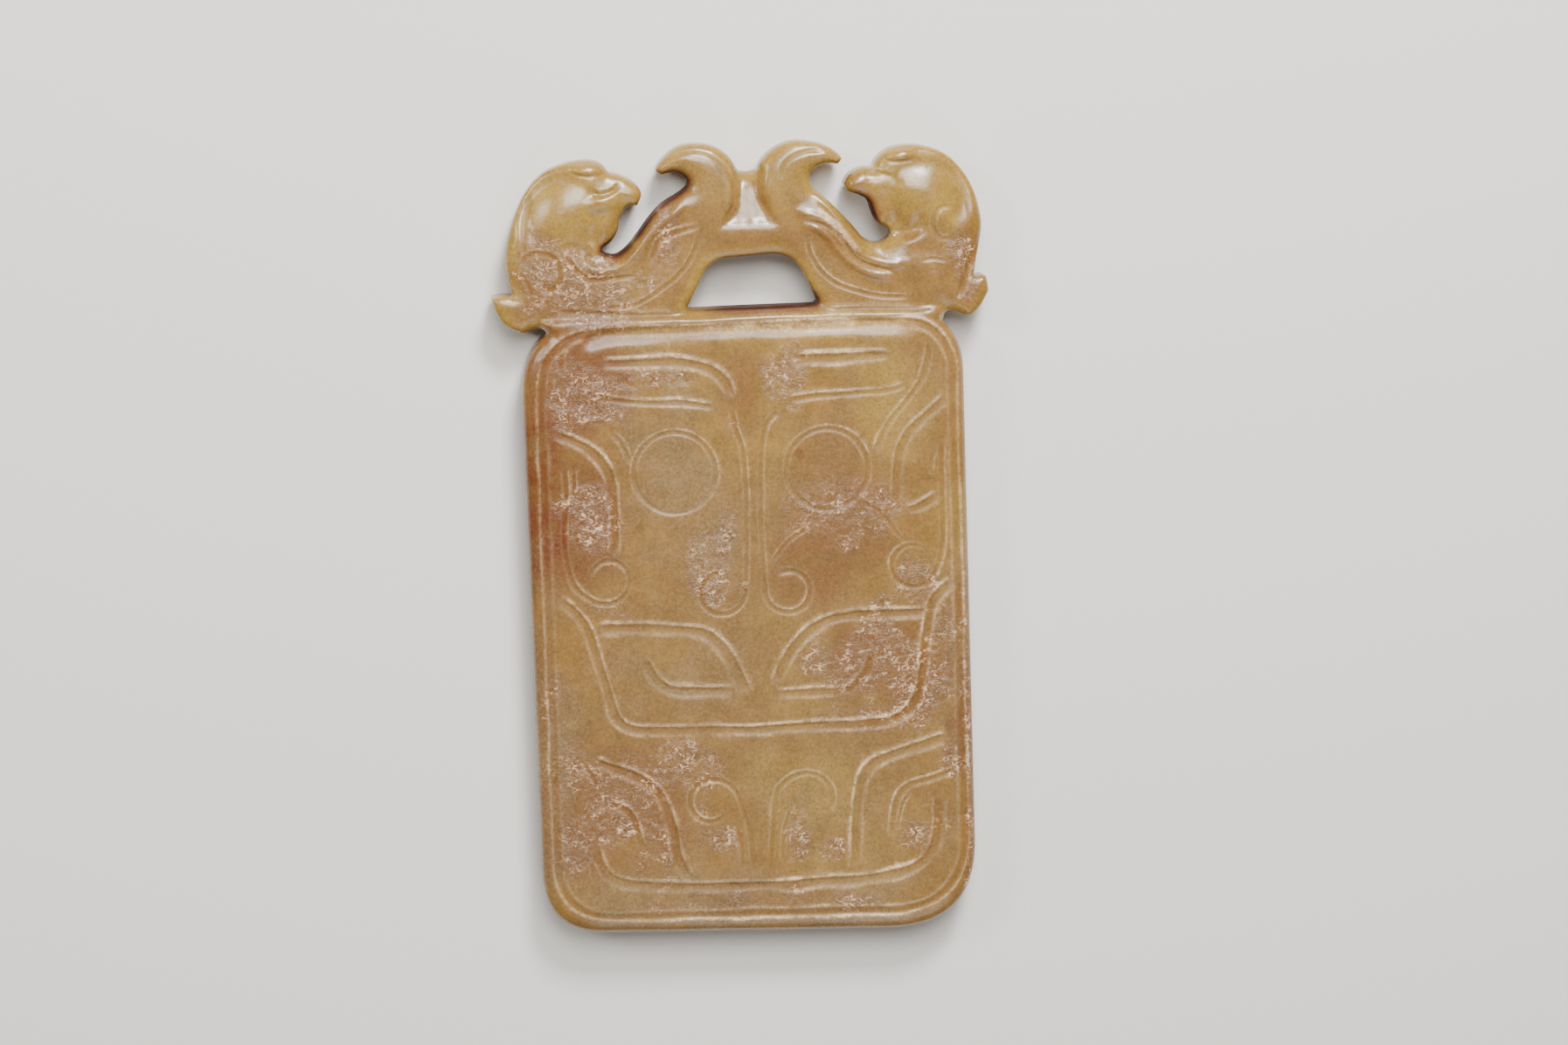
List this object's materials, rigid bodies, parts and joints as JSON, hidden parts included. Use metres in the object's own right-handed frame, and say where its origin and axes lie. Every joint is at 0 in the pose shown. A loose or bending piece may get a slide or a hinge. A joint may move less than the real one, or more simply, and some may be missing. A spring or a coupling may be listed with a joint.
{
  "type": "carved jade plaque",
  "caption": "Rounded rectangular jade plaque incised with an animal mask, under an openwork crest of paired birds whose tails curl up over a cord opening.",
  "frame": {"origin": "below the middle of the part's box, on the surface that the flat back lies on", "axes": "+X to the right across the plaque, +Y up the plaque from its foot to the birds, +Z out of the carved front face"},
  "size_m": [0.0568, 0.092, 0.0065],
  "materials": {
    "jade": "worn polished nephrite, yellow-green to brown, slightly translucent, with whitish corroded patches and red-brown stain in the cut lines"
  },
  "bodies": {
    "root": {"jade_plaque": "jade"}
  },
  "joints": []
}
